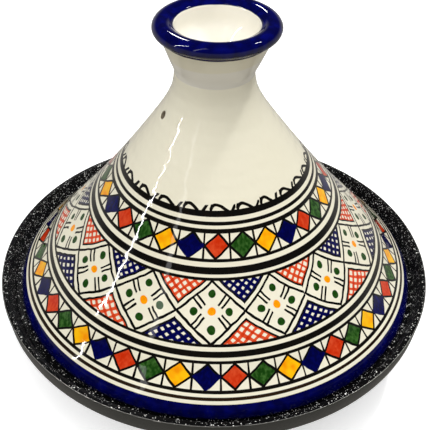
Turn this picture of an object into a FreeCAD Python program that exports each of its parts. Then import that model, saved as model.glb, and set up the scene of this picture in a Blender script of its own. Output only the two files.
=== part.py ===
"""Tagine pot: a painted earthenware lid standing in a shallow coated aluminium pan.

Frame: origin at the centre of the pan's foot, +Z up, millimetres. Everything is turned about Z,
except the steam vent, which is drilled through the lid's wall.
"""
import FreeCAD
import Part

import math
import os

# pan
rim_radius = 150.0          # outer edge of the pan's rim
pan_height = 60.0           # foot to rim
rim_width = 4.0             # flat top of the rim
rim_edge_round = 0.5
band_height = 10.0          # upright band under the rim
band_taper = 1.5            # how much narrower the band is at its lower edge
band_under_round = 3.5
wall = 4.0                  # cast aluminium
rim_draft = 0.3             # the rim's inner edge leans outwards this much
ledge_depth = 10.5          # rim to the ledge that the lid stands on
ledge_outer_radius = 141.5
ledge_inner_radius = 126.5
ledge_fillet = 1.6          # between the ledge and the rim's inner side
ledge_nose = 1.5            # rounding where the ledge turns down into the bowl
foot_radius = 100.0
foot_corner = 3.0
floor_thickness = 5.0
floor_radius = 90.0         # flat part of the inside floor
floor_fillet = 8.0
belly = 5.0                 # how far the sloping wall bows out

# steel plate in the pan's base
plate_radius = 86.0
plate_thickness = 1.2
plate_recess = 1.6          # depth of the pocket, so the plate sits clear of the table
plate_bevel = 0.3
centring_hole_radius = 2.5

# lid, heights above the plane of the pan's rim
lid_wall = 7.0
lid_foot_radius = 138.0
lid_foot_height = -8.3      # height of the widest point
lid_foot_round = 2.2
lid_foot_width = 8.0        # flat ring that rests on the ledge
shoulder_radius = 133.9     # where the foot band meets the cone
cone_outline = [(123.6, 10.0), (111.3, 25.0), (93.3, 45.0), (76.8, 65.0), (61.5, 85.0),
                (46.9, 105.0), (33.2, 125.0), (26.7, 138.0)]
seat_radius = 24.6          # where the cup is luted to the cone
seat_height = 149.1
crown_wall = 8.0            # clay left under the cup
crown_hollow = 10.0         # height of the domed hollow under the crown
foot_clear = 6.0            # height above the foot where the inside wall starts

# steam vent
vent_radius = 2.6
vent_height = 124.0
vent_azimuth = -160.0       # degrees from +X, seen from above
vent_slope = 0.75           # rise of the drilling for each millimetre outwards
vent_length = 60.0
vent_inner_radius = 12.0    # where the drilling starts, inside the lid
vent_inner_drop = 16.0

# cup
cup_outline = [(25.6, 153.0), (27.7, 157.7), (31.2, 166.4), (33.6, 172.0)]
cup_rim_radius = 32.5       # centre of the rolled rim
cup_rim_height = 177.9
cup_rim_half_width = 6.0
cup_rim_half_height = 4.7
cup_rim_start = -75.0       # degrees round the rim's section, from its outermost point
cup_rim_end = 140.0
cup_rim_steps = 8
cup_well = [(26.4, 180.2), (25.6, 179.0), (25.1, 175.5), (23.8, 168.3)]
cup_floor = 6.0
cup_floor_radius = 12.0
cup_well_corner = 5.0


def point(radius, height):
    return FreeCAD.Vector(radius, 0, height)


def line(a, b):
    return Part.LineSegment(point(*a), point(*b)).toShape()


def middle(a, b, out, up):
    """Halfway from a to b, moved out and up."""
    return ((a[0] + b[0]) / 2 + out, (a[1] + b[1]) / 2 + up)


def curve(points):
    """Smooth outline through a few turned radii."""
    spline = Part.BSplineCurve()
    spline.interpolate([point(*p) for p in points])
    return spline.toShape()


def arc(a, through, b):
    return Part.Arc(point(*a), point(*through), point(*b)).toShape()


def corner(a, vertex, b):
    """Rounded corner from a to b, bending round the vertex."""
    pole = [point(*a), point(*vertex), point(*b)]
    rounded = Part.BezierCurve()
    rounded.setPoles(pole)
    return rounded.toShape()


def turned(edges):
    face = Part.Face(Part.Wire(edges))
    solid = face.revolve(FreeCAD.Vector(0, 0, 0), FreeCAD.Vector(0, 0, 1), 360)
    return solid


def inset(points, distance):
    """The outline moved inwards by the wall's thickness, square to the outline."""
    moved = []
    for i in range(1, len(points) - 1):
        dr = points[i + 1][0] - points[i - 1][0]
        dz = points[i + 1][1] - points[i - 1][1]
        length = math.hypot(dr, dz)
        moved.append((points[i][0] - distance * dz / length, points[i][1] + distance * dr / length))
    return moved


def pan_outside():
    """From the plate's pocket round the foot, the wall and the band to the top of the rim."""
    underside = pan_height - ledge_depth - wall
    band_low = rim_radius - band_taper
    foot_out = (foot_radius + foot_corner, foot_corner)
    wall_top = (ledge_inner_radius + wall + ledge_nose, underside)
    bowed = middle(wall_top, foot_out, belly, -0.6 * belly)
    band_start = (band_low - band_under_round, underside)
    band_foot = (band_low, pan_height - band_height)
    rim_side = (rim_radius, pan_height - rim_edge_round)
    rim_top = (rim_radius - rim_edge_round, pan_height)
    return [
        line((0, plate_recess), (plate_radius, plate_recess)),
        line((plate_radius, plate_recess), (plate_radius, 0)),
        line((plate_radius, 0), (foot_radius, 0)),
        corner((foot_radius, 0), (foot_radius + foot_corner, 0), foot_out),
        arc(foot_out, bowed, wall_top),
        line(wall_top, band_start),
        corner(band_start, (band_low, underside), band_foot),
        line(band_foot, rim_side),
        corner(rim_side, (rim_radius, pan_height), rim_top),
    ]


def pan_inside():
    """From the top of the rim down to the ledge, over its nose and along the floor."""
    ledge = pan_height - ledge_depth
    rim_inner = rim_radius - rim_width
    rim_top = (rim_inner + rim_edge_round, pan_height)
    rim_low = (rim_inner - rim_draft, pan_height - 2 * rim_edge_round)
    fillet_top = (ledge_outer_radius + 0.5 * ledge_fillet, ledge + ledge_fillet)
    fillet_end = (ledge_outer_radius - ledge_fillet, ledge)
    nose_start = (ledge_inner_radius + ledge_nose, ledge)
    nose_end = (ledge_inner_radius - ledge_nose, ledge - ledge_nose)
    slope_end = (floor_radius + floor_fillet, floor_thickness + 0.6 * floor_fillet)
    bowed = middle(nose_end, slope_end, belly, -0.6 * belly)
    floor_edge = (floor_radius, floor_thickness)
    return [
        line((rim_radius - rim_edge_round, pan_height), rim_top),
        corner(rim_top, (rim_inner, pan_height), rim_low),
        line(rim_low, fillet_top),
        corner(fillet_top, (ledge_outer_radius, ledge), fillet_end),
        line(fillet_end, nose_start),
        corner(nose_start, (ledge_inner_radius - 0.4 * ledge_nose, ledge), nose_end),
        arc(nose_end, bowed, slope_end),
        corner(slope_end, (floor_radius + 0.5 * floor_fillet, floor_thickness), floor_edge),
        line(floor_edge, (0, floor_thickness)),
        line((0, floor_thickness), (0, plate_recess)),
    ]


def make_pan():
    return turned(pan_outside() + pan_inside())


def make_base_plate():
    low = plate_recess - plate_thickness
    return turned([
        line((centring_hole_radius, low), (plate_radius - plate_bevel, low)),
        line((plate_radius - plate_bevel, low), (plate_radius, low + plate_bevel)),
        line((plate_radius, low + plate_bevel), (plate_radius, plate_recess)),
        line((plate_radius, plate_recess), (centring_hole_radius, plate_recess)),
        line((centring_hole_radius, plate_recess), (centring_hole_radius, low)),
    ])


def lid_outline():
    """The cone's outer wall, from the top of the foot band to the cup's seat."""
    return [(shoulder_radius, 0.0)] + cone_outline + [(seat_radius, seat_height)]


def drill_vent(solid):
    angle = math.radians(vent_azimuth)
    outward = FreeCAD.Vector(math.cos(angle), math.sin(angle), vent_slope)
    outward.normalize()
    start = FreeCAD.Vector(
        vent_inner_radius * math.cos(angle),
        vent_inner_radius * math.sin(angle),
        pan_height + vent_height - vent_inner_drop,
    )
    return solid.cut(Part.makeCylinder(vent_radius, vent_length, start, outward))


def lid_inner_wall(low, crown_low):
    """The cone's inside, from just above the foot to the start of the crown's hollow."""
    above_foot = (lid_foot_radius, lid_foot_height + lid_foot_round)
    offset = inset([above_foot] + lid_outline(), lid_wall)
    lowest = foot_clear - ledge_depth
    return [low] + [p for p in offset if lowest < p[1] < crown_low - crown_hollow]


def make_lid_cone():
    base = -ledge_depth
    foot_outer = lid_foot_radius - lid_foot_round
    foot_inner = foot_outer - lid_foot_width
    inner_low = (foot_inner - 0.8, base + 1.5)
    crown_low = seat_height - crown_wall
    inner = lid_inner_wall(inner_low, crown_low)
    crown_start = inner[-1]
    foot_side = (lid_foot_radius, lid_foot_height)
    edges = [
        line((foot_inner, base), (foot_outer, base)),
        corner((foot_outer, base), (lid_foot_radius, base), foot_side),
        corner(foot_side, (lid_foot_radius, 0.5 * lid_foot_height), (shoulder_radius, 0.0)),
        curve(lid_outline()),
        line((seat_radius, seat_height), (0, seat_height)),
        line((0, seat_height), (0, crown_low)),
        corner((0, crown_low), (crown_start[0] * 0.8, crown_low), crown_start),
        curve(list(reversed(inner))),
        line(inner_low, (foot_inner, base)),
    ]
    cone = turned(edges)
    cone.translate(FreeCAD.Vector(0, 0, pan_height))
    return drill_vent(cone)


def rolled_rim():
    """The rim's oval section, as points from under its outer side over the top."""
    points = []
    for i in range(cup_rim_steps + 1):
        turn = math.radians(cup_rim_start + (cup_rim_end - cup_rim_start) * i / cup_rim_steps)
        radius = cup_rim_radius + cup_rim_half_width * math.cos(turn)
        height = cup_rim_height + cup_rim_half_height * math.sin(turn)
        points.append((radius, height))
    return points


def make_lid_cup():
    rim = rolled_rim()
    floor = seat_height + cup_floor
    well_side = (cup_floor_radius + cup_well_corner, floor + cup_well_corner)
    floor_edge = (cup_floor_radius - 2.0, floor)
    edges = [
        line((0, seat_height), (seat_radius, seat_height)),
        curve([(seat_radius, seat_height)] + cup_outline + [rim[0]]),
        curve(rim),
        curve([rim[-1]] + cup_well + [well_side]),
        corner(well_side, (cup_floor_radius + 2.0, floor), floor_edge),
        line(floor_edge, (0, floor)),
        line((0, floor), (0, seat_height)),
    ]
    cup = turned(edges)
    cup.translate(FreeCAD.Vector(0, 0, pan_height))
    return cup


def describe(name, shape):
    box = shape.BoundBox
    limits = (box.XMin, box.YMin, box.ZMin, box.XMax, box.YMax, box.ZMax)
    print(name, "valid", shape.isValid(), "solids", len(shape.Solids))
    print("  volume cm3", round(shape.Volume / 1000, 1), "box", [round(v, 1) for v in limits])


def main():
    os.makedirs("parts", exist_ok=True)
    nodes = {
        "pan": make_pan(),
        "base_plate": make_base_plate(),
        "lid_cone": make_lid_cone(),
        "lid_cup": make_lid_cup(),
    }
    for name, shape in nodes.items():
        describe(name, shape)
        shape.exportStep("parts/" + name + ".step")


main()
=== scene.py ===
import math

import bmesh
import bpy
from mathutils import Matrix, Vector


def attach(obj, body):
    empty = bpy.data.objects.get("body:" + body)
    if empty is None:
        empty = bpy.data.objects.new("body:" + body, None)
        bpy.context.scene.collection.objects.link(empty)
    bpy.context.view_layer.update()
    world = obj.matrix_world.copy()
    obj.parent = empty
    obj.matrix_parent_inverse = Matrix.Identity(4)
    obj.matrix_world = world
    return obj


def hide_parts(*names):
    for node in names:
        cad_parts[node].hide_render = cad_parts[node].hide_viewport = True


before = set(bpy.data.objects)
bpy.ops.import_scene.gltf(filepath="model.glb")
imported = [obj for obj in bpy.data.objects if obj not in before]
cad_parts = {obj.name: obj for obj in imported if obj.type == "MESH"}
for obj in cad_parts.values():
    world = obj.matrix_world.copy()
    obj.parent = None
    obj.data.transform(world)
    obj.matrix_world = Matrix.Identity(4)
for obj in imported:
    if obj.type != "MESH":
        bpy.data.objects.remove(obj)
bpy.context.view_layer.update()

mm = 0.001
fullTurn = 2 * math.pi
rimPlane = 60.0  # height of the pan's rim above the table, mm
print("frame loaded:", sorted(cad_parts))


def smoothLine(points, spacing):
    # an even, smooth line through a few turned radii
    ends = [tuple(2 * a - b for a, b in zip(points[0], points[1]))] + list(points)
    ends.append(tuple(2 * a - b for a, b in zip(points[-1], points[-2])))
    line = []
    for p0, p1, p2, p3 in zip(ends, ends[1:], ends[2:], ends[3:]):
        count = max(1, round(math.dist(p1, p2) / spacing))
        for i in range(count):
            t = i / count
            line.append(tuple(
                0.5 * (2 * b + (c - a) * t + (2 * a - 5 * b + 4 * c - d) * t * t
                       + (3 * b - a - 3 * c + d) * t ** 3)
                for a, b, c, d in zip(p0, p1, p2, p3)))
    return line + [points[-1]]


def insetLine(points, distance):
    # the same line, moved towards the axis by the thickness of the clay
    moved = []
    for before, here, after in zip(points, points[1:], points[2:]):
        run, rise = after[0] - before[0], after[1] - before[1]
        length = math.hypot(run, rise)
        moved.append((here[0] - distance * rise / length, here[1] + distance * run / length))
    return moved


def spinOutline(outline, steps, lift=0.0):
    shape = bmesh.new()
    points = [shape.verts.new((r * mm, 0, (z + lift) * mm)) for r, z in outline]
    lines = [shape.edges.new(pair) for pair in zip(points, points[1:])]
    bmesh.ops.spin(shape, geom=points + lines, cent=(0, 0, 0), axis=(0, 0, 1), angle=fullTurn,
                   steps=steps, use_merge=True)
    bmesh.ops.remove_doubles(shape, verts=shape.verts[:], dist=0.00001)
    bmesh.ops.recalc_face_normals(shape, faces=shape.faces[:])
    return shape


def ringEdges(shape, radius, height):
    # the edges of one turned corner
    def onRing(vert):
        return (abs(math.hypot(vert.co.x, vert.co.y) - radius * mm) < 0.02 * mm
                and abs(vert.co.z - height * mm) < 0.02 * mm)
    return [e for e in shape.edges if onRing(e.verts[0]) and onRing(e.verts[1])]


def roundRing(shape, radius, height, width, segments=3):
    bmesh.ops.bevel(shape, geom=ringEdges(shape, radius, height), offset=width * mm,
                    offset_type="OFFSET", segments=segments, profile=0.5, affect="EDGES",
                    material=-1)


def leanOver(shape, lowShift, low, highShift, high):
    # sideways lean of a hand-thrown piece, given at two heights in mm
    lean = (highShift - lowShift) / (high - low)
    shear = Matrix(((1, 0, lean, (lowShift - lean * low) * mm), (0, 1, 0, 0), (0, 0, 1, 0), (0, 0,
                                                                                             0, 1)))
    bmesh.ops.transform(shape, matrix=shear, verts=shape.verts[:])


def finishPiece(shape, name, materials, sharpAngle=50):
    mesh = bpy.data.meshes.new(name)
    shape.to_mesh(mesh)
    shape.free()
    for material in materials:
        mesh.materials.append(material)
    for polygon in mesh.polygons:
        polygon.use_smooth = True
    mesh.set_sharp_from_angle(angle=math.radians(sharpAngle))
    piece = bpy.data.objects.new(name, mesh)
    bpy.context.scene.collection.objects.link(piece)
    return piece


def addNode(tree, kind, **settings):
    node = tree.nodes.new(kind)
    for label, value in settings.items():
        setattr(node, label, value)
    return node


def feed(tree, socket, value):
    if isinstance(value, bpy.types.NodeSocket):
        tree.links.new(value, socket)
    else:
        socket.default_value = value


def calc(tree, operation, *values, clamp=False):
    node = addNode(tree, "ShaderNodeMath", operation=operation, use_clamp=clamp)
    for socket, value in zip(node.inputs, values):
        feed(tree, socket, value)
    return node.outputs[0]


def minus(tree, value, less):
    return calc(tree, "SUBTRACT", value, less)


def scaled(tree, value, factor, offset, clamp=False):
    return calc(tree, "MULTIPLY_ADD", value, factor, offset, clamp=clamp)


def within(tree, distance, limit, soft=0.16):
    # 1 where distance is under limit, with a soft brush edge, in mm
    margin = minus(tree, limit, distance)
    return scaled(tree, margin, 1 / soft, 0.5, clamp=True)


def layer(tree, under, over, mask):
    node = addNode(tree, "ShaderNodeMix", data_type="RGBA")
    feed(tree, node.inputs[0], mask)
    feed(tree, node.inputs[6], under)
    feed(tree, node.inputs[7], over)
    return node.outputs[2]


def cloud(tree, vector, scale, detail=1.0, seed=0.0):
    node = addNode(tree, "ShaderNodeTexNoise", noise_dimensions="4D")
    feed(tree, node.inputs["Vector"], vector)
    feed(tree, node.inputs["W"], seed)
    node.inputs["Scale"].default_value = scale
    node.inputs["Detail"].default_value = detail
    return node.outputs["Fac"], node.outputs["Color"]


def split(tree, vector):
    node = addNode(tree, "ShaderNodeSeparateXYZ")
    feed(tree, node.inputs[0], vector)
    return node.outputs


def shaken(tree, value, noise, amount):
    # value, strayed either way by half of amount
    offset = minus(tree, noise, 0.5)
    return scaled(tree, offset, amount, value)


def anyOf(tree, *masks):
    whole = masks[0]
    for mask in masks[1:]:
        whole = calc(tree, "MAXIMUM", whole, mask)
    return whole


def times(tree, *values):
    whole = values[0]
    for value in values[1:]:
        whole = calc(tree, "MULTIPLY", whole, value)
    return whole


def spotLength(tree, across, up):
    squares = scaled(tree, across, across, times(tree, up, up))
    return calc(tree, "SQRT", squares)


def chancesFor(tree, number):
    # three fixed chances for a numbered motif
    node = addNode(tree, "ShaderNodeTexWhiteNoise", noise_dimensions="1D")
    feed(tree, node.inputs["W"], number)
    return split(tree, node.outputs["Color"])


def makeGroup(name, inputs, outputs):
    tree = bpy.data.node_groups.new(name, "ShaderNodeTree")
    for label, value in inputs.items():
        kind = "NodeSocketFloat"
        if not isinstance(value, float):
            kind = "NodeSocketColor" if len(value) == 4 else "NodeSocketVector"
        socket = tree.interface.new_socket(name=label, in_out="INPUT", socket_type=kind)
        socket.default_value = value
    for label, kind in outputs.items():
        tree.interface.new_socket(name=label, in_out="OUTPUT", socket_type="NodeSocket" + kind)
    start = addNode(tree, "NodeGroupInput")
    end = addNode(tree, "NodeGroupOutput")
    return tree, start.outputs, end.inputs


def useGroup(tree, group, **values):
    node = addNode(tree, "ShaderNodeGroup", node_tree=group)
    for label, value in values.items():
        feed(tree, node.inputs[label.replace("_", " ")], value)
    return node.outputs


def srgb(red, green, blue):
    def linear(value):
        value /= 255
        return value / 12.92 if value <= 0.04045 else ((value + 0.055) / 1.055) ** 2.4
    return (linear(red), linear(green), linear(blue), 1.0)


def newMaterial(name):
    material = bpy.data.materials.new(name)
    material.use_nodes = True
    tree = material.node_tree
    shader = tree.nodes["Principled BSDF"]
    place = addNode(tree, "ShaderNodeTexCoord").outputs["Object"]
    return material, tree, shader, place


def dress(tree, shader, **values):
    for label, value in values.items():
        feed(tree, shader.inputs[label.replace("_", " ")], value)


def addBump(tree, shader, height, distance, strength=1.0):
    bump = addNode(tree, "ShaderNodeBump")
    bump.inputs["Strength"].default_value = strength
    bump.inputs["Distance"].default_value = distance
    feed(tree, bump.inputs["Height"], height)
    dress(tree, shader, Normal=bump.outputs["Normal"])


glazeColours = {
    "ground": srgb(236, 231, 210),
    "cream": srgb(231, 225, 202),
    "black": srgb(13, 13, 11),
    "brownBlack": srgb(38, 26, 16),
    "navy": srgb(2, 5, 84),
    "navyDeep": srgb(1, 2, 58),
    "red": srgb(196, 44, 8),
    "redLight": srgb(222, 84, 44),
    "green": srgb(22, 62, 12),
    "greenLight": srgb(62, 104, 44),
    "yellow": srgb(252, 190, 14),
    "orange": srgb(246, 146, 6),
}


def glazeMix(tree, under, over, mask):
    return layer(tree, glazeColours[under], glazeColours[over], mask)


def makeHandSpacing():
    # which motif a spot falls in; the painter's spacing drifts a little round the lid
    tree, given, result = makeGroup("handSpacing", {"Turn": 0.0, "Count": 24.0, "Phase": 0.0,
                                                    "Lead": 0.0, "Sway": 0.0}, {"Place": "Float"})
    way = times(tree, given["Turn"], fullTurn)
    even = scaled(tree, given["Turn"], given["Count"], given["Phase"])
    led = scaled(tree, calc(tree, "SINE", way), given["Lead"], even)
    place = scaled(tree, calc(tree, "COSINE", way), given["Sway"], led)
    feed(tree, result["Place"], place)
    return tree


rowInputs = {"Spot": (0.0, 0.0, 0.0), "Turn": 0.0, "Slant": 0.0, "Count": 24.0, "Phase": 0.0,
             "Lead": 0.0, "Sway": 0.0}


def motifPlace(tree, given):
    labels = ("Turn", "Count", "Phase", "Lead", "Sway")
    return useGroup(tree, handSpacing, **{label: given[label] for label in labels})["Place"]


brushStroke = {
    "drift": 9.0,  # scale of the hand's slow wander
    "swell": 0.5,  # share of a line's width that comes and goes
    "edge": 0.22,  # mm, softness of a line's edge
    "streak": (520.0, 3.2, -1.3),  # scale and contrast of the brush's hairs
    "pool": (170.0, 3.6, -1.5),  # scale and contrast of the pooled paint
    "upright": 0.35,  # hairs run long, up the lid
}


def makeBrushLine():
    # one line run round the lid on the wheel, from Low to High up the slant
    tree, given, result = makeGroup("brushLine", {"Spot": (0.0, 0.0, 0.0), "Slant": 0.0, "Low": 0.0,
                                                  "High": 1.0, "Wander": 0.35, "Seed": 0.0},
                                    {"Mask": "Float"})
    drift, colour = cloud(tree, given["Spot"], brushStroke["drift"], 2.0, given["Seed"])
    pressure = split(tree, colour)[1]
    middle = times(tree, calc(tree, "ADD", given["Low"], given["High"]), 0.5)
    middle = shaken(tree, middle, drift, given["Wander"])
    half = times(tree, minus(tree, given["High"], given["Low"]), 0.5)
    half = times(tree, half, shaken(tree, 1.0, pressure, brushStroke["swell"]))
    away = calc(tree, "ABSOLUTE", minus(tree, given["Slant"], middle))
    feed(tree, result["Mask"], within(tree, away, half, brushStroke["edge"]))
    return tree


def makeBrushTone():
    # streaks and pools left by a loaded brush
    tree, given, result = makeGroup("brushTone", {
        "Spot": (0.0, 0.0, 0.0), "Seed": 0.0}, {"Streak": "Float", "Pool": "Float"})
    stretch = addNode(tree, "ShaderNodeMapping")
    feed(tree, stretch.inputs["Vector"], given["Spot"])
    stretch.inputs["Scale"].default_value = (1.0, 1.0, brushStroke["upright"])
    scale, contrast, offset = brushStroke["streak"]
    streak = cloud(tree, stretch.outputs[0], scale, 1.0, given["Seed"])[0]
    feed(tree, result["Streak"], scaled(tree, streak, contrast, offset, clamp=True))
    scale, contrast, offset = brushStroke["pool"]
    pool = cloud(tree, given["Spot"], scale, 1.0, given["Seed"])[0]
    feed(tree, result["Pool"], scaled(tree, pool, contrast, offset, clamp=True))
    return tree


diamondHand = {
    "shakeScale": 110.0,
    "shake": 1.5,  # mm, how far the brush strays
    "jointShake": 0.9,
    "tilt": (-0.16, -0.01),  # points at top and bottom don't stand quite over each other
    "size": (0.08, 0.95),
    "spill": (3.0, -0.9),  # mm, how far blue runs over its line on the lower sides
    "pastEdge": 0.7,  # mm, how far the points may cross the lines above and below
}


def diamondColours(tree, cell, streak, pool):
    # colours follow each other red, green, yellow, blue
    order = calc(tree, "FLOORED_MODULO", cell, 4.0)
    isBlue = calc(tree, "COMPARE", order, 3.0, 0.5)
    brushed = scaled(tree, streak, 0.45, times(tree, pool, 0.4))
    redTone = glazeMix(tree, "red", "redLight", brushed)
    greenTone = glazeMix(tree, "green", "greenLight", streak)
    yellowTone = glazeMix(tree, "yellow", "orange", pool)
    blueTone = glazeMix(tree, "navyDeep", "navy", streak)
    fill = layer(tree, redTone, greenTone, calc(tree, "COMPARE", order, 1.0, 0.5))
    fill = layer(tree, fill, yellowTone, calc(tree, "COMPARE", order, 2.0, 0.5))
    return layer(tree, fill, blueTone, isBlue), blueTone, isBlue


def makeDiamondRow():
    # lozenges set point to point between two lines, with an upright line through each joint
    tree, given, result = makeGroup("diamondRow", {
        **rowInputs, "Middle": 16.5, "Half Height": 7.6, "Half Width": 8.7,
        "Line": 1.45, "Streak": 0.0, "Pool": 0.0}, {"Paint": "Color", "Cover": "Float"})
    place = motifPlace(tree, given)
    cell = calc(tree, "ROUND", place)
    chances = chancesFor(tree, cell)
    shake = split(tree, cloud(tree, given["Spot"], diamondHand["shakeScale"], 1.0, 3.0)[1])
    width = times(tree, given["Half Width"], 2.0)
    across = times(tree, minus(tree, place, cell), width)
    up = minus(tree, given["Slant"], given["Middle"])
    tilt = scaled(tree, chances[0], *diamondHand["tilt"])
    leaning = scaled(tree, up, tilt, across)
    leaning = shaken(tree, leaning, shake[0], diamondHand["shake"])
    rise = shaken(tree, up, shake[1], diamondHand["shake"])
    # distance outside the lozenge, square to its sides
    size = scaled(tree, chances[1], *diamondHand["size"])
    sideWay = calc(tree, "DIVIDE", calc(tree, "ABSOLUTE", leaning), given["Half Width"])
    upWay = calc(tree, "DIVIDE", calc(tree, "ABSOLUTE", rise), given["Half Height"])
    edge = minus(tree, calc(tree, "ADD", sideWay, upWay), size)
    area = times(tree, given["Half Width"], given["Half Height"])
    slope = spotLength(tree, given["Half Width"], given["Half Height"])
    away = times(tree, edge, calc(tree, "DIVIDE", area, slope))
    # black lines
    halfLine = times(tree, given["Line"], 0.5)
    outline = within(tree, calc(tree, "ABSOLUTE", away), halfLine)
    joint = minus(tree, given["Half Width"], calc(tree, "ABSOLUTE", across))
    joint = shaken(tree, joint, shake[2], diamondHand["jointShake"])
    ink = anyOf(tree, outline, within(tree, joint, times(tree, halfLine, 0.95)))
    fill, blueTone, isBlue = diamondColours(tree, cell, given["Streak"], given["Pool"])
    paint = layer(tree, fill, glazeColours["black"], ink)
    spill = scaled(tree, shake[2], *diamondHand["spill"])
    low = within(tree, rise, 1.5, 1.0)
    runs = times(tree, within(tree, away, spill, 0.3), low, isBlue)
    paint = layer(tree, paint, blueTone, runs)
    cover = anyOf(tree, within(tree, away, 0.0), ink, runs)
    limit = calc(tree, "ADD", given["Half Height"], diamondHand["pastEdge"])
    inBand = within(tree, calc(tree, "ABSOLUTE", up), limit)
    feed(tree, result["Paint"], paint)
    feed(tree, result["Cover"], times(tree, cover, inBand))
    return tree


tileBand = {
    "halfWidth": 21.8,  # mm, centre of a tile to the point where two tiles meet
    "halfHeight": 18.8,
    "middle": 54.3,
    "edgeLine": 1.6,
    "whiteStrip": 3.55,  # tile's edge to the middle of the triangle's outline
    "triangleLine": 1.25,
    "check": 4.1,  # spacing of the checked cloth pattern
    "blueGap": 1.75,
    "redGap": 2.2,
    "strokeLength": 8.9,
    "strokeApart": 1.62,
    "strokeSplay": 0.03,
    "strokeHalf": 0.72,
    "strokeRagged": 2.4,
    "dot": 2.55,
    "dotOut": 11.2,
    "dotSquash": 0.3,  # upper and lower dots sit a little closer in
    "wander": (52.0, 3.4),  # scale and reach of the slow wander, mm
    "tremble": (240.0, 0.8),  # scale and reach of the quick one
}


def tileStrokes(tree, side, height, away, ragged):
    # pairs of strokes from the middle of each side towards the tile's centre
    wide, high = tileBand["halfWidth"], tileBand["halfHeight"]
    slope = math.hypot(wide, high)
    along = scaled(tree, side, -wide / slope, (wide * wide - high * high) / 2 / slope)
    along = scaled(tree, height, high / slope, along)
    splay = scaled(tree, away, tileBand["strokeSplay"], tileBand["strokeApart"])
    fromStroke = minus(tree, calc(tree, "ABSOLUTE", along), splay)
    stroke = within(tree, calc(tree, "ABSOLUTE", fromStroke), tileBand["strokeHalf"])
    end = shaken(tree, tileBand["strokeLength"], ragged, tileBand["strokeRagged"])
    inward = times(tree, away, -1.0)
    return times(tree, stroke, within(tree, inward, end, 0.5), within(tree, away, 0.0))


def tileDot(tree, side, height, sideOff, upOff):
    fromDot = spotLength(tree, minus(tree, side, sideOff), minus(tree, height, upOff))
    return within(tree, fromDot, tileBand["dot"])


def checkedCloth(tree, across, rise, isBlue, tremble, streak, pool):
    # two runs of brush strokes, square to each other; returns the paint and the bare squares
    wide, high, check = tileBand["halfWidth"], tileBand["halfHeight"], tileBand["check"]
    reach = wide * high / math.hypot(wide, high)
    gapSide = minus(tree, calc(tree, "ABSOLUTE", across), wide)
    gapSide = times(tree, gapSide, calc(tree, "SIGN", across))
    gapSize = scaled(tree, isBlue, (tileBand["blueGap"] - tileBand["redGap"]) / 2,
                     tileBand["redGap"] / 2)
    gapSize = shaken(tree, gapSize, tremble, 0.9)
    gaps = []
    for direction in (1.0, -1.0):
        lean = times(tree, gapSide, direction * reach / wide / check)
        mark = scaled(tree, rise, reach / high / check, lean)
        step = minus(tree, calc(tree, "FRACT", mark), 0.5)
        fromGap = times(tree, calc(tree, "ABSOLUTE", step), check)
        gaps.append(within(tree, fromGap, gapSize, 0.3))
    crossing = minus(tree, 1.0, anyOf(tree, *gaps))
    dark = scaled(tree, pool, 0.5, times(tree, crossing, 0.6), clamp=True)
    redCloth = glazeMix(tree, "redLight", "red", dark)
    blueCloth = glazeMix(tree, "navyDeep", "navy", streak)
    return layer(tree, redCloth, blueCloth, isBlue), times(tree, *gaps)


def makeTileBand():
    # big dotted lozenges, with checked triangles between them above and below
    tree, given, result = makeGroup("tileBand", {
        **rowInputs, "Streak": 0.0, "Pool": 0.0},
        {"Paint": "Color", "Cover": "Float"})
    wide, high = tileBand["halfWidth"], tileBand["halfHeight"]
    reach = wide * high / math.hypot(wide, high)
    place = motifPlace(tree, given)
    across = minus(tree, place, calc(tree, "ROUND", place))
    across = times(tree, across, 2 * wide)
    up = rise = minus(tree, given["Slant"], tileBand["middle"])
    for (scale, amount), detail, seed in ((tileBand["wander"], 1.5, 1.0), (tileBand["tremble"], 0.0,
                                                                           2.0)):
        shake = split(tree, cloud(tree, given["Spot"], scale, detail, seed)[1])
        across = shaken(tree, across, shake[0], amount)
        rise = shaken(tree, rise, shake[1], amount)
    side = calc(tree, "ABSOLUTE", across)
    height = calc(tree, "ABSOLUTE", rise)
    corner = scaled(tree, side, 1 / wide, times(tree, height, 1 / high))
    away = scaled(tree, corner, reach, -reach)
    edgeInk = within(tree, calc(tree, "ABSOLUTE", away), tileBand["edgeLine"] / 2)
    fromStrip = calc(tree, "ABSOLUTE", minus(tree, away, tileBand["whiteStrip"]))
    stripInk = within(tree, fromStrip, tileBand["triangleLine"] / 2)
    ink = anyOf(tree, edgeInk, stripInk, tileStrokes(tree, side, height, away, shake[2]))
    orangeDot = tileDot(tree, side, height, 0.0, 0.0)
    greenDots = anyOf(tree, tileDot(tree, side, height, tileBand["dotOut"], 0.0),
                      tileDot(tree, side, height, 0.0,
                              tileBand["dotOut"] - tileBand["dotSquash"]))
    # red and blue take turns round the lid, and change over below
    below = calc(tree, "LESS_THAN", rise, 0.0)
    isBlue = calc(tree, "ADD", calc(tree, "FLOOR", place), below)
    isBlue = calc(tree, "FLOORED_MODULO", isBlue, 2.0)
    cloth, bare = checkedCloth(tree, across, rise, isBlue, shake[2], given["Streak"], given["Pool"])
    inCloth = within(tree, tileBand["whiteStrip"] + 0.5, away)
    painted = times(tree, inCloth, minus(tree, 1.0, bare))
    orange = layer(tree, glazeColours["orange"], glazeColours["yellow"],
                   times(tree, given["Streak"], 0.5))
    green = layer(tree, glazeColours["green"], glazeColours["greenLight"],
                  times(tree, given["Streak"], 0.3))
    paint = layer(tree, glazeColours["ground"], cloth, painted)
    paint = layer(tree, paint, orange, orangeDot)
    paint = layer(tree, paint, green, greenDots)
    paint = layer(tree, paint, glazeColours["black"], ink)
    cover = anyOf(tree, ink, painted, orangeDot, greenDots)
    inBand = within(tree, calc(tree, "ABSOLUTE", up), high + 0.3)
    feed(tree, result["Paint"], paint)
    feed(tree, result["Cover"], times(tree, cover, inBand))
    return tree


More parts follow.
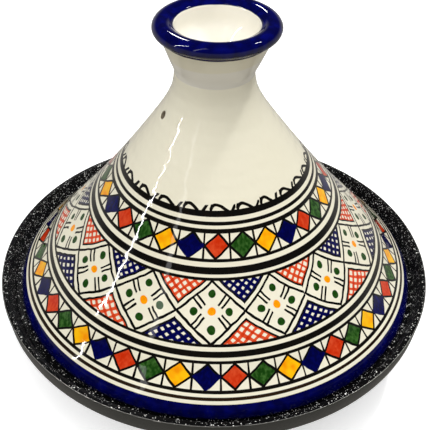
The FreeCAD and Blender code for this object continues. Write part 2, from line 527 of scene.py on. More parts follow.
vineEdge = {
    "unit": 15.3,  # mm, one arch and one tick
    "foot": 114.1,
    "lead": 0.27,  # share of a unit, so that a unit starts at its arch
    "shakeScale": 160.0,
    "shake": (1.4, 1.0),  # mm, round the lid and up it
    "archStart": 0.9,
    "archWidth": (9.2, 2.2),  # mm, with how much the hand changes it
    "archHeight": (4.0, 1.0),
    "archSkew": 0.6,  # under 1, the arch's top lies nearer its start
    "tickStart": 11.6,
    "tickLean": 0.3,
    "tickHeight": 4.0,
    "brush": 0.95,
}


def vineArch(tree, across, rise, chances):
    # the arch springs up steeply, rounds over and slopes down to the line
    skew = vineEdge["archSkew"]
    wide = shaken(tree, vineEdge["archWidth"][0], chances[0], vineEdge["archWidth"][1])
    tall = shaken(tree, vineEdge["archHeight"][0], chances[1], vineEdge["archHeight"][1])
    fromStart = minus(tree, across, vineEdge["archStart"])
    way = calc(tree, "MAXIMUM", calc(tree, "DIVIDE", fromStart, wide), 0.03)
    swing = times(tree, calc(tree, "POWER", way, skew), math.pi)
    steep = times(tree, calc(tree, "COSINE", swing), calc(tree, "POWER", way, skew - 1))
    pitch = calc(tree, "DIVIDE", times(tree, tall, skew * math.pi), wide)
    steep = times(tree, steep, pitch)
    stretch = calc(tree, "SQRT", scaled(tree, steep, steep, 1.0))
    top = times(tree, calc(tree, "SINE", swing), tall)
    gap = calc(tree, "ABSOLUTE", minus(tree, rise, top))
    before = calc(tree, "MAXIMUM", times(tree, fromStart, -1.0), 0.0)
    fromArch = calc(tree, "ADD", calc(tree, "DIVIDE", gap, stretch), before)
    return times(tree, within(tree, fromArch, vineEdge["brush"]), within(tree, way, 1.05, 0.1))


def vineTick(tree, across, rise, chances):
    # a short stroke leaning after the arch
    lean = scaled(tree, chances[2], 0.35, vineEdge["tickLean"])
    start = scaled(tree, chances[0], 1.4, vineEdge["tickStart"])
    tickLine = scaled(tree, rise, lean, start)
    fromTick = calc(tree, "ABSOLUTE", minus(tree, across, tickLine))
    tick = within(tree, times(tree, fromTick, 0.88), vineEdge["brush"] * 0.95)
    return times(tree, tick, within(tree, rise, vineEdge["tickHeight"], 0.5))


def makeVineEdge():
    # free brush border: an arch and a short tick, over and over
    tree, given, result = makeGroup("vineEdge", rowInputs, {"Mask": "Float"})
    place = motifPlace(tree, given)
    place = calc(tree, "ADD", place, vineEdge["lead"])
    chances = chancesFor(tree, calc(tree, "FLOOR", place))
    shake = split(tree, cloud(tree, given["Spot"], vineEdge["shakeScale"], 1.0, 5.0)[1])
    across = times(tree, calc(tree, "FRACT", place), vineEdge["unit"])
    across = shaken(tree, across, shake[0], vineEdge["shake"][0])
    rise = minus(tree, given["Slant"], vineEdge["foot"])
    rise = shaken(tree, rise, shake[1], vineEdge["shake"][1])
    mask = anyOf(tree, vineArch(tree, across, rise, chances), vineTick(tree, across, rise, chances))
    feed(tree, result["Mask"], times(tree, mask, within(tree, 0.0, rise)))
    return tree


glazeFlow = {
    "swell": 80.0,  # scale of the waves in a dipped glaze
    "broad": 22.0,
    "tone": 14.0,
    "pinholes": 85.0,
    "pinholeSize": 0.028,
    "pinholeFrom": 0.93,  # chance above which a cell has a pinhole
}


def makeGlazeSkin():
    # the slow swell of a dipped glaze, a few pinholes and a faint change of tone
    tree, given, result = makeGroup("glazeSkin", {
        "Spot": (0.0, 0.0, 0.0), "Seed": 0.0}, {"Height": "Float", "Tone": "Float",
                                                "Pinhole": "Float"})
    swell = cloud(tree, given["Spot"], glazeFlow["swell"], 2.5, given["Seed"])[0]
    broad = cloud(tree, given["Spot"], glazeFlow["broad"], 1.0, given["Seed"])[0]
    cells = addNode(tree, "ShaderNodeTexVoronoi", feature="F1")
    feed(tree, cells.inputs["Vector"], given["Spot"])
    cells.inputs["Scale"].default_value = glazeFlow["pinholes"]
    rare = calc(tree, "GREATER_THAN", split(tree, cells.outputs["Color"])[0],
                glazeFlow["pinholeFrom"])
    pin = calc(tree, "LESS_THAN", cells.outputs["Distance"], glazeFlow["pinholeSize"])
    tone = cloud(tree, given["Spot"], glazeFlow["tone"], 3.0, given["Seed"])[0]
    feed(tree, result["Height"], calc(tree, "ADD", broad, swell))
    feed(tree, result["Tone"], scaled(tree, tone, 2.0, -0.5, clamp=True))
    feed(tree, result["Pinhole"], times(tree, pin, rare))
    return tree


castGrit = {
    "flecks": [(700.0, 0.0), (1500.0, 0.37)],  # scale and shift of each size of fleck
    "grain": 900.0,
    "tone": 30.0,
}


def makeCastCoating():
    # flecks of pale grit fired into a dark coating, and its fine orange-peel grain
    tree, given, result = makeGroup("castCoating", {"Spot": (0.0, 0.0, 0.0), "Fleck Size": 0.34,
                                                    "Fleck Share": 0.5}, {"Fleck": "Float", "Grain":
                                                                          "Float", "Tone": "Float"})
    flecks = []
    for scale, seed in castGrit["flecks"]:
        shift = addNode(tree, "ShaderNodeMapping")
        shift.inputs["Location"].default_value = (seed, seed, seed)
        feed(tree, shift.inputs["Vector"], given["Spot"])
        cells = addNode(tree, "ShaderNodeTexVoronoi", feature="F1")
        feed(tree, cells.inputs["Vector"], shift.outputs[0])
        cells.inputs["Scale"].default_value = scale
        chance = split(tree, cells.outputs["Color"])
        size = times(tree, chance[0], given["Fleck Size"])
        spot = calc(tree, "LESS_THAN", cells.outputs["Distance"], size)
        chosen = calc(tree, "LESS_THAN", chance[1], given["Fleck Share"])
        bright = scaled(tree, chance[2], 0.6, 0.4)
        flecks.append(times(tree, spot, chosen, bright))
    feed(tree, result["Fleck"], anyOf(tree, *flecks))
    feed(tree, result["Grain"], cloud(tree, given["Spot"], castGrit["grain"], 1.0)[0])
    feed(tree, result["Tone"], cloud(tree, given["Spot"], castGrit["tone"], 2.0)[0])
    return tree


handSpacing = makeHandSpacing()
brushLine = makeBrushLine()
brushTone = makeBrushTone()
diamondRow = makeDiamondRow()
tileGroup = makeTileBand()
vineGroup = makeVineEdge()
glazeSkin = makeGlazeSkin()
castCoating = makeCastCoating()
print("painter's groups ready")


lidPaint = {
    "lines": [  # low, high up the slant in mm
        (-0.9, -0.1), (6.1, 8.2), (23.6, 25.5), (27.5, 31.1), (33.7, 35.5), (73.0, 74.8),
        (76.7, 81.1), (84.0, 86.1), (101.2, 103.8), (106.0, 108.2), (111.0, 114.8)],
    "brownLine": (2.0, 4.1),
    "navyTop": -0.3,
    "lowerRow": {"Count": 44.0, "Phase": -10.488, "Lead": -0.157, "Sway": 0.301,
                 "Middle": 16.0, "Half_Height": 7.8, "Half_Width": 8.7},
    "upperRow": {"Count": 28.0, "Phase": -5.78, "Lead": -0.155, "Sway": 0.316,
                 "Middle": 93.7, "Half_Height": 7.9, "Half_Width": 7.9},
    "tileRow": {"Count": 14.0, "Phase": -3.811, "Lead": -0.143, "Sway": 0.152},
    "vineRow": {"Count": 24.0, "Phase": -9.729, "Lead": 0.13, "Sway": 0.325},
    "turnStart": 1.75,  # rows are counted from behind the lid
    "roughness": 0.045,
    "gloss": 0.4,
    "swell": 0.0002,  # m, height of the waves in the glaze
    "ripple": (130.0, 2.0),  # scale and strength on the plain part
    "rippleFrom": 100.0,  # mm up the slant
    "rippleOver": 20.0,
}


def paintedInk(tree, place, slant, common):
    # the brush border and the black lines
    ink = useGroup(tree, vineGroup, **lidPaint["vineRow"], **common)["Mask"]
    for number, (low, high) in enumerate(lidPaint["lines"]):
        line = useGroup(tree, brushLine, Spot=place, Slant=slant, Low=low, High=high,
                        Seed=float(number))
        ink = anyOf(tree, ink, line["Mask"])
    return ink


def makePaintedGlaze():
    material, tree, shader, place = newMaterial("paintedGlaze")
    slant = addNode(tree, "ShaderNodeAttribute", attribute_name="slant").outputs["Fac"]
    x, y = split(tree, place)[:2]
    turn = scaled(tree, calc(tree, "ARCTAN2", y, x), 1 / fullTurn, lidPaint["turnStart"])
    turn = calc(tree, "FRACT", turn)
    skin = useGroup(tree, glazeSkin, Spot=place, Seed=1.0)
    tone = useGroup(tree, brushTone, Spot=place, Seed=2.0)
    common = {"Spot": place, "Turn": turn, "Slant": slant}
    tones = {"Streak": tone["Streak"], "Pool": tone["Pool"]}
    paint = glazeMix(tree, "ground", "cream", skin["Tone"])
    for group, row in ((diamondRow, "lowerRow"), (diamondRow, "upperRow"), (tileGroup, "tileRow")):
        motifs = useGroup(tree, group, **lidPaint[row], **common, **tones)
        paint = layer(tree, paint, motifs["Paint"], motifs["Cover"])
    thin = times(tree, tone["Streak"], 0.25)
    inkColour = glazeMix(tree, "black", "brownBlack", thin)
    paint = layer(tree, paint, inkColour, paintedInk(tree, place, slant, common))
    low, high = lidPaint["brownLine"]
    brown = useGroup(tree, brushLine, Spot=place, Slant=slant, Low=low, High=high, Seed=20.0)
    paint = layer(tree, paint, glazeColours["brownBlack"], brown["Mask"])
    navy = glazeMix(tree, "navyDeep", "navy", tone["Pool"])
    paint = layer(tree, paint, navy, within(tree, slant, lidPaint["navyTop"], 0.3))
    paint = layer(tree, paint, glazeColours["brownBlack"], skin["Pinhole"])
    dress(tree, shader, Base_Color=paint, Roughness=lidPaint["roughness"],
          Specular_IOR_Level=lidPaint["gloss"])
    plain = scaled(tree, slant, 1 / lidPaint["rippleOver"], -lidPaint["rippleFrom"] /
                   lidPaint["rippleOver"], clamp=True)
    scale, strength = lidPaint["ripple"]
    ripple = times(tree, plain, cloud(tree, place, scale, 1.0, 8.0)[0])
    height = scaled(tree, ripple, strength, skin["Height"])
    addBump(tree, shader, height, lidPaint["swell"])
    return material


clayFinish = {
    "insideCream": srgb(226, 216, 188),
    # the two vent colours are painted shade for the inside of the steam hole
    "ventShadeDark": srgb(100, 90, 74),
    "ventShadeLight": srgb(170, 158, 136),
    "clay": srgb(206, 160, 118),
    "clayDark": srgb(176, 120, 82),
    "clayGrain": srgb(228, 196, 160),
}


def makeInsideGlaze():
    material, tree, shader, place = newMaterial("insideGlaze")
    skin = useGroup(tree, glazeSkin, Spot=place, Seed=6.0)
    colour = layer(tree, glazeColours["ground"], clayFinish["insideCream"], skin["Tone"])
    colour = layer(tree, colour, glazeColours["brownBlack"], skin["Pinhole"])
    dress(tree, shader, Base_Color=colour)
    rough = scaled(tree, skin["Tone"], 0.12, 0.14)
    dress(tree, shader, Roughness=rough)
    addBump(tree, shader, skin["Height"], 0.0001)
    return material


def makeVentPaintedShade():
    # painted shade: the steam hole's walls get a blotchy dark grey-brown that stands in for the
    # shade inside the hole
    material, tree, shader, place = newMaterial("ventPaintedShade")
    blotch = cloud(tree, place, 300.0, 2.0)[0]
    colour = layer(tree, clayFinish["ventShadeDark"], clayFinish["ventShadeLight"], blotch)
    dress(tree, shader, Base_Color=colour, Roughness=scaled(tree, blotch, 0.3, 0.3))
    addBump(tree, shader, blotch, 0.0001)
    return material


def makeBareClay():
    # the foot is wiped clean of glaze before firing
    material, tree, shader, place = newMaterial("bareClay")
    grain = cloud(tree, place, 420.0, 4.0)[0]
    patch = cloud(tree, place, 40.0, 2.0)[0]
    colour = layer(tree, clayFinish["clay"], clayFinish["clayDark"], patch)
    colour = layer(tree, colour, clayFinish["clayGrain"], times(tree, grain, 0.5))
    dress(tree, shader, Base_Color=colour, Roughness=scaled(tree, grain, 0.2, 0.72))
    addBump(tree, shader, grain, 0.0002)
    return material


cupPaint = {
    "centre": -0.6,  # mm, how far the cup was set off the axis
    "rimRadius": 32.5,
    "rimHeight": 177.9,
    "halfWidth": 6.0,
    "halfHeight": 4.7,
    "blueReach": 1.3,  # blue covers this many times the rim's half size
    "blueWaver": 0.12,
    "innerEdge": 179.0,
    "innerWaver": 0.8,
    "wellFrom": 3.0,  # mm inside the rim's middle
    # whiter than the outer cream: painted light, brightening the well that faces up into the
    # overhead light
    "insideCream": srgb(236, 232, 220),
    "roughness": 0.04,
    "gloss": 0.4,
    "swell": 0.00005,
}


def makeCupGlaze():
    material, tree, shader, place = newMaterial("cupGlaze")
    centred = addNode(tree, "ShaderNodeMapping")
    centred.inputs["Location"].default_value = (-cupPaint["centre"] * mm, 0, 0)
    feed(tree, centred.inputs["Vector"], place)
    x, y, z = split(tree, centred.outputs[0])
    radius = spotLength(tree, x, y)
    halfWidth, halfHeight = cupPaint["halfWidth"], cupPaint["halfHeight"]
    out = scaled(tree, radius, 1 / mm / halfWidth, -cupPaint["rimRadius"] / halfWidth)
    up = scaled(tree, z, 1 / mm / halfHeight, -(cupPaint["rimHeight"] + rimPlane) / halfHeight)
    waver = cloud(tree, place, 90.0, 1.0)[0]
    limit = shaken(tree, cupPaint["blueReach"], waver, cupPaint["blueWaver"])
    onRim = within(tree, spotLength(tree, out, up), limit, 0.05)
    # the well is cream from a little under the rim's top
    drop = scaled(tree, z, -1 / mm, cupPaint["innerEdge"] + rimPlane)
    drop = scaled(tree, waver, cupPaint["innerWaver"], drop)
    inward = scaled(tree, radius, -1 / mm, cupPaint["rimRadius"] - cupPaint["wellFrom"])
    inside = within(tree, 0.0, inward, 0.5)
    well = times(tree, within(tree, 0.0, drop, 0.25), inside)
    isBlue = times(tree, onRim, minus(tree, 1.0, well))
    skin = useGroup(tree, glazeSkin, Spot=place, Seed=9.0)
    tone = useGroup(tree, brushTone, Spot=place, Seed=4.0)
    cream = glazeMix(tree, "ground", "cream", skin["Tone"])
    # painted light: the well gets a lighter, less yellow cream so that it looks as bright as its
    # lit hollow
    cream = layer(tree, cream, cupPaint["insideCream"], inside)
    navy = glazeMix(tree, "navyDeep", "navy", tone["Pool"])
    dress(tree, shader, Base_Color=layer(tree, cream, navy, isBlue),
          Roughness=cupPaint["roughness"], Specular_IOR_Level=cupPaint["gloss"])
    addBump(tree, shader, skin["Height"], cupPaint["swell"])
    return material


panFinish = {
    "coat": (srgb(4, 4, 5), srgb(11, 11, 12)),
    "fleck": srgb(246, 246, 242),
    "fleckSize": 0.4,
    "fleckShare": 0.36,
    "gloss": 0.08,
    "bareMetal": srgb(178, 176, 170),
    "wornHeight": 59.4,  # mm, the worn edge lies above and outside these
    "wornRadius": 149.35,
    "satin": (srgb(36, 36, 33), srgb(46, 46, 42)),
    "satinFleck": srgb(110, 110, 105),
}


def makePanCoating():
    material, tree, shader, place = newMaterial("panCoating")
    x, y, z = split(tree, place)
    coat = useGroup(tree, castCoating, Spot=place, Fleck_Size=panFinish["fleckSize"],
                    Fleck_Share=panFinish["fleckShare"])
    colour = layer(tree, *panFinish["coat"], coat["Tone"])
    colour = layer(tree, colour, panFinish["fleck"], coat["Fleck"])
    # the top edge has lost its coating and shows bare metal
    nearTop = scaled(tree, z, 1 / mm, -panFinish["wornHeight"])
    nearEdge = scaled(tree, spotLength(tree, x, y), 1 / mm, -panFinish["wornRadius"])
    ragged = cloud(tree, place, 120.0, 3.0)[0]
    ragged = scaled(tree, ragged, 2.0, -0.1, clamp=True)
    worn = times(tree, within(tree, 0.0, nearTop, 0.2), within(tree, 0.0, nearEdge, 0.2), ragged)
    dress(tree, shader, Base_Color=layer(tree, colour, panFinish["bareMetal"], worn), Metallic=worn,
          Roughness=scaled(tree, coat["Grain"], 0.16, 0.3), Specular_IOR_Level=panFinish["gloss"])
    addBump(tree, shader, coat["Grain"], 0.00008)
    return material


def makePanSatin():
    # plain outside, almost without flecks
    material, tree, shader, place = newMaterial("panSatin")
    coat = useGroup(tree, castCoating, Spot=place, Fleck_Size=0.12, Fleck_Share=0.1)
    colour = layer(tree, *panFinish["satin"], coat["Tone"])
    colour = layer(tree, colour, panFinish["satinFleck"], coat["Fleck"])
    dress(tree, shader, Base_Color=colour, Roughness=scaled(tree, coat["Grain"], 0.18, 0.38))
    addBump(tree, shader, coat["Grain"], 0.0001)
    return material


plateFinish = {
    "steel": (srgb(150, 149, 146), srgb(188, 187, 184)),
    "blotch": srgb(120, 108, 92),
    "turningMarks": 2600.0,
}


def makePlateSteel():
    # turning marks round the centre, and heat stains from the hob
    material, tree, shader, place = newMaterial("plateSteel")
    x, y = split(tree, place)[:2]
    rings = addNode(tree, "ShaderNodeTexNoise", noise_dimensions="1D")
    feed(tree, rings.inputs["W"], spotLength(tree, x, y))
    rings.inputs["Scale"].default_value = plateFinish["turningMarks"]
    rings.inputs["Detail"].default_value = 2.0
    marks = rings.outputs["Fac"]
    blotch = cloud(tree, place, 25.0, 4.0)[0]
    blotch = scaled(tree, blotch, 1.6, -0.75, clamp=True)
    colour = layer(tree, *plateFinish["steel"], marks)
    dress(tree, shader, Base_Color=layer(tree, colour, plateFinish["blotch"], blotch), Metallic=1.0,
          Roughness=scaled(tree, marks, 0.25, 0.25))
    addBump(tree, shader, marks, 0.00004)
    return material


paintedGlaze = makePaintedGlaze()
insideGlaze = makeInsideGlaze()
ventPaintedShade = makeVentPaintedShade()
bareClay = makeBareClay()
cupGlaze = makeCupGlaze()
panCoating = makePanCoating()
panSatin = makePanSatin()
plateSteel = makePlateSteel()
print("materials ready")


lidCone = {
    "outline": [(24.6, 149.1), (26.7, 138.0), (33.2, 125.0), (46.9, 105.0), (61.5, 85.0),
                (76.8, 65.0), (93.3, 45.0), (111.3, 25.0), (123.6, 10.0), (133.9, 0.0)],
    "foot": [(137.2, -4.6), (138.0, -8.3), (137.2, -10.0), (135.6, -10.5)],
    "footInner": [(127.8, -10.5), (127.0, -9.0)],
    "clay": 7.0,  # mm, thickness of the wall
    "innerFoot": -6.0,
    "crown": 141.1,
    "crownHollow": [(0.8, 2.0), (0.45, 0.3), (0.0, 0.0)],  # share of the radius, mm under it
    "steps": 192,
    "spacing": 1.6,
    "footShift": 0.9,  # mm; the cone was lifted off the wheel a little out of true
    "topShift": -1.6,
    "throwing": 0.05,  # mm, height of the rings left by the potter's fingers
    "throwingPitch": 0.9,
    "thrown": (4, 146),
}

vent = {
    "azimuth": -160.0,
    "height": 124.0,
    "wallRadius": 33.9,  # mm, the cone's radius at the vent
    "radius": 2.6,
    "rise": 0.75,
    "lip": 0.7,
    "mouthColumns": 5,  # faces opened across the wall's grid, outside and inside
    "backColumns": 6,
    "flare": 0.4,  # how much of the wall's curve the mouth keeps
}


def outlineSlant(outer):
    # distance up the outline from the top of the foot band, for each height
    start = min(range(len(outer)), key=lambda i: abs(outer[i][1]))
    slants = [0.0] * len(outer)
    for i in range(start - 1, -1, -1):
        slants[i] = slants[i + 1] + math.dist(outer[i], outer[i + 1])
    for i in range(start + 1, len(outer)):
        slants[i] = slants[i - 1] - math.dist(outer[i], outer[i - 1])
    return [(point[1], slant) for point, slant in zip(outer, slants)]


def slantAt(table, height):
    for (z1, s1), (z2, s2) in zip(table, table[1:]):
        if z2 <= height <= z1:
            return s1 + (s2 - s1) * (z1 - height) / max(z1 - z2, 1e-6)
    return table[0][1] if height > table[0][0] else table[-1][1]


def openMouth(shape, centre, direction, columns):
    # opens a block of the wall's grid and rounds its border into one mouth of the vent
    azimuth = math.radians(vent["azimuth"])
    span = vent["radius"] * 0.9 * mm

    def inBlock(face):
        spot = face.calc_center_median()
        around = (math.atan2(spot.y, spot.x) - azimuth) * lidCone["steps"] / fullTurn
        return (abs(around) < columns / 2 and abs(spot.z - centre.z) < span
                and (spot - centre).length < 6 * mm and face.normal.dot(direction) > 0.5)

    block = [face for face in shape.faces if inBlock(face)]
    bmesh.ops.delete(shape, geom=block, context="FACES")
    border = [e for e in shape.edges if e.is_boundary and (e.verts[0].co - centre).length < 7 * mm]
    side = direction.cross(Vector((0, 0, 1))).normalized()
    top = side.cross(direction).normalized()

    def turnOf(vert):
        return math.atan2((vert.co - centre).dot(top), (vert.co - centre).dot(side))

    loop = sorted({v for e in border for v in e.verts}, key=turnOf)
    first = turnOf(loop[0])
    for number, vert in enumerate(loop):
        turn = first + fullTurn * number / len(loop)
        depth = (vert.co - centre).dot(direction) * vent["flare"]
        ring = side * math.cos(turn) + top * math.sin(turn)
        vert.co = centre + direction * depth + ring * vent["radius"] * mm
    return border


def drillVent(shape):
    # returns where the vent comes out and which way it points
    azimuth = math.radians(vent["azimuth"])
    outward = Vector((math.cos(azimuth), math.sin(azimuth), vent["rise"])).normalized()
    mouth = Vector((math.cos(azimuth) * vent["wallRadius"], math.sin(azimuth) * vent["wallRadius"],
                    vent["height"] + rimPlane)) * mm
    back = mouth - outward * lidCone["clay"] * mm
    shape.normal_update()
    outerBorder = openMouth(shape, mouth, outward, vent["mouthColumns"])
    innerBorder = openMouth(shape, back, -outward, vent["backColumns"])
    bmesh.ops.bridge_loops(shape, edges=outerBorder + innerBorder)
    outerEdges = set(outerBorder)
    lip = [e for e in shape.edges if e in outerEdges]
    bmesh.ops.bevel(shape, geom=lip, offset=vent["lip"] * mm, offset_type="OFFSET", segments=3,
                    profile=0.5, affect="EDGES", material=-1)
    print("vent drilled, edges round its mouths:", len(outerBorder), len(innerBorder))
    return mouth, outward


def coneWalls():
    # outer wall from the crown down to the foot, and inner wall back up to the crown
    outer = []
    low, high = lidCone["thrown"]
    for r, z in smoothLine(lidCone["outline"] + lidCone["foot"], lidCone["spacing"]):
        ring = lidCone["throwing"] * math.sin(z * lidCone["throwingPitch"])
        outer.append((r + ring if low < z < high else r, z))
    inner = insetLine(list(reversed(lidCone["outline"] + lidCone["foot"][:2])), lidCone["clay"])
    inner = [p for p in inner if lidCone["innerFoot"] < p[1] < lidCone["crown"] - 10]
    inner = smoothLine(inner, lidCone["spacing"])
    lastRadius = inner[-1][0]
    for share, under in lidCone["crownHollow"]:
        inner.append((lastRadius * share, lidCone["crown"] - under))
    return outer, inner


def chooseGlaze(face, mouth, outward):
    # slots: 0 painted, 1 inside, 2 bare clay, 3 vent, coloured as painted shade
    centre = face.calc_center_median()
    height = centre.z / mm - rimPlane
    radial = face.normal.dot(Vector((centre.x, centre.y, 0)).normalized())
    along = (centre - mouth).dot(outward)
    offAxis = (centre - mouth - outward * along).length
    inVent = -lidCone["clay"] * mm < along < 0 and offAxis < (vent["radius"] + 0.25) * mm
    if inVent and abs(face.normal.dot(outward)) < 0.5:
        return 3
    if face.normal.z < -0.9 and height < -10.2:
        return 2
    facesIn = radial < -0.05 and height < lidCone["thrown"][1]
    return 1 if facesIn or face.normal.z < -0.5 else 0


def makeLidCone():
    outer, inner = coneWalls()
    top = lidCone["outline"][0][1]
    outline = [(0.0, top)] + outer + lidCone["footInner"] + inner
    shape = spinOutline(outline, lidCone["steps"], rimPlane)
    mouth, outward = drillVent(shape)
    bmesh.ops.recalc_face_normals(shape, faces=shape.faces[:])
    table = outlineSlant(outer)
    slantLayer = shape.verts.layers.float.new("slant")
    for vert in shape.verts:
        vert[slantLayer] = slantAt(table, vert.co.z / mm - rimPlane)
    for face in shape.faces:
        face.material_index = chooseGlaze(face, mouth, outward)
    leanOver(shape, lidCone["footShift"], rimPlane - 8, lidCone["topShift"], rimPlane + 149)
    return finishPiece(shape, "lidCone", [paintedGlaze, insideGlaze, bareClay, ventPaintedShade])


lidCup = {
    "wall": [(24.6, 149.1), (25.6, 153.0), (27.7, 157.7), (31.2, 166.4), (33.6, 172.0)],
    "rimStart": -75,
    "rimEnd": 140,
    "rimSteps": 24,
    "well": [(26.4, 180.2), (25.6, 179.0), (25.1, 175.5), (23.8, 168.3), (17.6, 160.6),
             (13.0, 156.2), (7.0, 155.1), (0.0, 155.1)],
    "steps": 160,
    "seatShift": -1.5,  # mm; set down a little off the cone's lean
    "rimShift": -0.4,
    "tall": 29,
}


def makeLidCup():
    rim = []
    for number in range(lidCup["rimSteps"] + 1):
        share = number / lidCup["rimSteps"]
        turn = math.radians(lidCup["rimStart"] + (lidCup["rimEnd"] - lidCup["rimStart"]) * share)
        rim.append((cupPaint["rimRadius"] + cupPaint["halfWidth"] * math.cos(turn),
                    cupPaint["rimHeight"] + cupPaint["halfHeight"] * math.sin(turn)))
    well = smoothLine([rim[-1]] + lidCup["well"], 1.0)
    seat = lidCup["wall"][0][1]
    outline = [(0.0, seat)] + smoothLine(lidCup["wall"], 1.2) + rim + well[1:]
    shape = spinOutline(outline, lidCup["steps"], rimPlane)
    leanOver(shape, lidCup["seatShift"], rimPlane + seat, lidCup["rimShift"], rimPlane + seat +
             lidCup["tall"])
    return finishPiece(shape, "lidCup", [cupGlaze])


lidConePiece = makeLidCone()
lidCupPiece = makeLidCup()
print("lid ready")


pan = {
    "underside": [(0.0, 1.6), (86.0, 1.6), (86.0, 0.0), (103.0, 0.0)],
    "outerWall": [(104.4, 3.0), (122.75, 21.25), (132.5, 45.5)],
    "band": [(148.2, 45.5), (150.0, 60.0)],
    "rimInner": [(146.0, 60.0), (141.6, 49.5)],
    "ledgeInner": (126.0, 49.5),
    "innerWall": [(125.0, 47.5), (116.5, 25.75), (98.0, 10.0)],
    "floor": [(91.5, 5.0), (0.0, 5.0)],
    "wallSpacing": 3.0,
    "steps": 192,
    "roundings": [  # radius, height, width, segments
        (150.0, 60.0, 0.55, 3), (146.0, 60.0, 0.6, 3), (141.6, 49.5, 1.4, 3),
        (126.0, 49.5, 0.8, 3), (148.2, 45.5, 2.6, 4), (132.5, 45.5, 2.0, 3),
        (103.0, 0.0, 1.2, 3), (91.5, 5.0, 3.0, 4)],
}


def makePan():
    outline = pan["underside"] + smoothLine(pan["outerWall"], pan["wallSpacing"])
    outline += pan["band"] + pan["rimInner"] + [pan["ledgeInner"]]
    outline += smoothLine(pan["innerWall"], pan["wallSpacing"]) + pan["floor"]
    shape = spinOutline(outline, pan["steps"])
    for face in shape.faces:
        centre = face.calc_center_median()
        outside = face.normal.dot(Vector((centre.x, centre.y, 0)).normalized()) > 0.3
        if outside and centre.z / mm > 3 or face.normal.z < -0.2:
            face.material_index = 1
    for radius, height, width, segments in pan["roundings"]:
        roundRing(shape, radius, height, width, segments)
    return finishPiece(shape, "panBody", [panCoating, panSatin])


basePlate = {
    "radius": 86.0,
    "low": 0.4,
    "high": 1.6,
    "bevel": 0.3,
    "hole": 2.5,
    "steps": 144,
}


def makeBasePlate():
    hole, radius = basePlate["hole"], basePlate["radius"]
    low, high = basePlate["low"], basePlate["high"]
    outline = [(hole, high), (radius, high), (radius, low), (hole, low), (hole, high)]
    shape = spinOutline(outline, basePlate["steps"])
    roundRing(shape, radius, low, basePlate["bevel"], 2)
    return finishPiece(shape, "basePlate", [plateSteel])


panPiece = makePan()
platePiece = makeBasePlate()
print("pan ready")

pieces = [
    (lidConePiece, "lid", "lid_cone", "painted_glaze"),
    (lidCupPiece, "lid", "lid_cup", "cup_glaze"),
    (panPiece, "pan", "pan", "coated_aluminium"),
    (platePiece, "pan", "base_plate", "plate_steel"),
]
for piece, body, node, slot in pieces:
    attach(piece, body)
    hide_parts(node)
    triangles = sum(len(p.vertices) - 2 for p in piece.data.polygons)
    print(piece.name, "triangles", triangles)


studio = {
    "floorSize": 16.0,
    "floorColours": ((0.9, 0.9, 0.9, 1.0), (0.87, 0.87, 0.87, 1.0)),
    "glow": 0.55,  # keeps the floor pale under the pot
    "sky": [  # height up the sky, colour
        (0.0, (0.5, 0.48, 0.44, 1)), (0.02, (0.5, 0.49, 0.47, 1)), (0.3, (0.03, 0.03, 0.03, 1))],
    "skyStrength": 0.9,
    "lightsAim": (0, 0, 0.1),
    "lights": [
        # name, azimuth, elevation, distance, width, height, power, seen in gloss
        ("overhead", -90, 76, 1.7, 1.9, 1.9, 31.0, False),
        ("frontFill", -100, 30, 1.9, 1.6, 1.0, 6.5, False),
        ("backRight", 38, 58, 1.6, 0.12, 0.12, 10.5, False),
        ("leftSoft", 180, 35, 1.8, 0.8, 0.8, 7.0, False),
        ("rightSoft", 0, 35, 1.8, 0.8, 0.8, 3.0, False),
        ("stripLeft", -164, 39, 1.5, 0.022, 1.15, 8.0, True),
        ("stripFrontLeft", -129, 50, 1.6, 0.09, 1.5, 1.2, True),
        ("lampRight", 20, 54, 1.5, 0.05, 0.2, 3.0, True),
        ("lampBack", 100, 40, 1.6, 0.05, 0.25, 2.5, True),
    ],
    "cameraPlace": (0, -0.4331, 0.4407),
    "cameraDown": 38.45,  # degrees below level
    "cameraRoll": 0.9,
    "lens": 66.8,
}


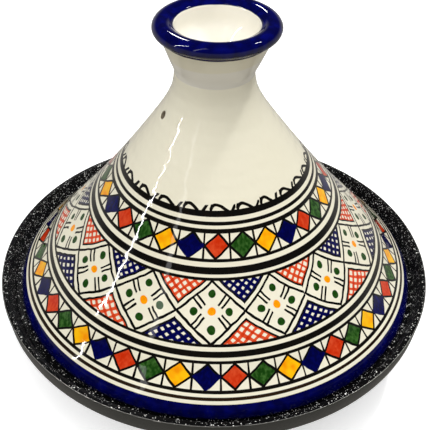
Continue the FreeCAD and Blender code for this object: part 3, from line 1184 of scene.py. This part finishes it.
def makeFloor():
    shape = bmesh.new()
    bmesh.ops.create_grid(shape, x_segments=1, y_segments=1, size=studio["floorSize"] / 2)
    material, tree, shader, place = newMaterial("paleFloor")
    light, mottled = studio["floorColours"]
    colour = layer(tree, light, mottled, cloud(tree, place, 3.0, 2.0)[0])
    dress(tree, shader, Base_Color=colour, Roughness=0.8, Specular_IOR_Level=0.2,
          Emission_Color=light, Emission_Strength=studio["glow"])
    floor = finishPiece(shape, "studioFloor", [material])
    floor.visible_diffuse = False  # the floor stays pale without lighting the pot from below
    floor.visible_glossy = False


def makeWorld():
    world = bpy.data.worlds.new("studioWorld")
    world.use_nodes = True
    tree = world.node_tree
    coordinates = addNode(tree, "ShaderNodeTexCoord")
    ramp = addNode(tree, "ShaderNodeValToRGB")
    ramp.color_ramp.elements.new(studio["sky"][1][0])
    for element, (place, colour) in zip(ramp.color_ramp.elements, studio["sky"]):
        element.position = place
        element.color = colour
    feed(tree, ramp.inputs[0], split(tree, coordinates.outputs["Generated"])[2])
    background = tree.nodes["Background"]
    feed(tree, background.inputs["Color"], ramp.outputs[0])
    background.inputs["Strength"].default_value = studio["skyStrength"]
    bpy.context.scene.world = world


def makeLights():
    target = Vector(studio["lightsAim"])
    for name, azimuth, elevation, distance, width, height, power, inGloss in studio["lights"]:
        lamp = bpy.data.lights.new(name, "AREA")
        lamp.shape = "RECTANGLE"
        lamp.size = width
        lamp.size_y = height
        lamp.energy = power
        around, above = math.radians(azimuth), math.radians(elevation)
        away = Vector((math.cos(around) * math.cos(above), math.sin(around) * math.cos(above),
                       math.sin(above)))
        holder = bpy.data.objects.new(name, lamp)
        holder.visible_glossy = inGloss
        holder.visible_diffuse = not inGloss
        holder.matrix_world = (Matrix.Translation(target + away * distance) @
                               away.to_track_quat("Z", "Y").to_matrix().to_4x4())
        bpy.context.scene.collection.objects.link(holder)


def makeCamera():
    camera = bpy.data.cameras.new("studioCamera")
    camera.sensor_width = 36.0
    camera.lens = studio["lens"]
    camera.clip_start = 0.01
    holder = bpy.data.objects.new("studioCamera", camera)
    tilt = math.radians(90 - studio["cameraDown"])
    holder.matrix_world = (Matrix.Translation(studio["cameraPlace"]) @ Matrix.Rotation(tilt, 4, "X")
                           @ Matrix.Rotation(math.radians(studio["cameraRoll"]), 4, "Z"))
    bpy.context.scene.collection.objects.link(holder)
    bpy.context.scene.camera = holder


makeFloor()
makeWorld()
makeLights()
makeCamera()
bpy.context.scene.view_settings.view_transform = "Standard"
print("studio ready")
